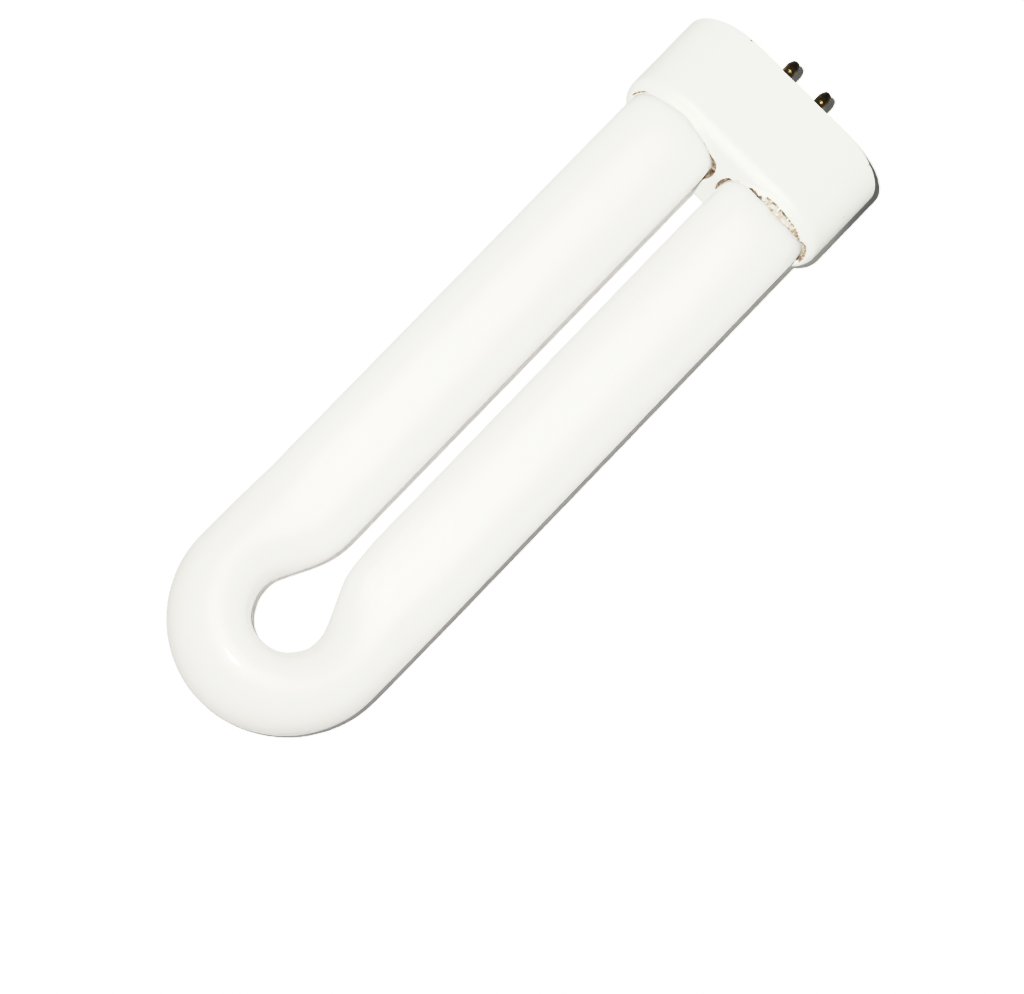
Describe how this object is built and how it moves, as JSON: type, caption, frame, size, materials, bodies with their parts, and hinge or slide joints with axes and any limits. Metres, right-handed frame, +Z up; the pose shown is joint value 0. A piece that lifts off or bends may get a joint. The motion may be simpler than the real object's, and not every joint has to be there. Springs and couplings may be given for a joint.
{
  "type": "u shaped fluorescent bulb",
  "caption": "Slender white U-bent fluorescent tube, its legs cemented side by side into a moulded stadium-shaped end cap with brass contact pins.",
  "frame": {"origin": "centre of the pin pattern on the cap's end face", "axes": "+Y along the lamp, the way the pins point; X across the two legs; +Z up, the lamp lying flat"},
  "size_m": [0.045, 0.1691, 0.023],
  "materials": {
    "coated_glass": "clear glossy glass over an opaque white powder coating",
    "cap_plastic": "white moulded plastic, satin, slightly aged",
    "capping_cement": "dry tan-brown cement, rough",
    "pin_brass": "tarnished brass",
    "lead_wire": "drawn nickel-plated wire"
  },
  "bodies": {
    "root": {"glass_tube": "coated_glass", "base_cap": "cap_plastic", "cement_ring_left": "capping_cement", "cement_ring_right": "capping_cement", "contact_pin_left_upper": "pin_brass", "contact_pin_left_lower": "pin_brass", "contact_pin_right_upper": "pin_brass", "contact_pin_right_lower": "pin_brass", "lead_wire_left_upper": "lead_wire", "lead_wire_left_lower": "lead_wire", "lead_wire_right_upper": "lead_wire", "lead_wire_right_lower": "lead_wire"}
  },
  "joints": []
}
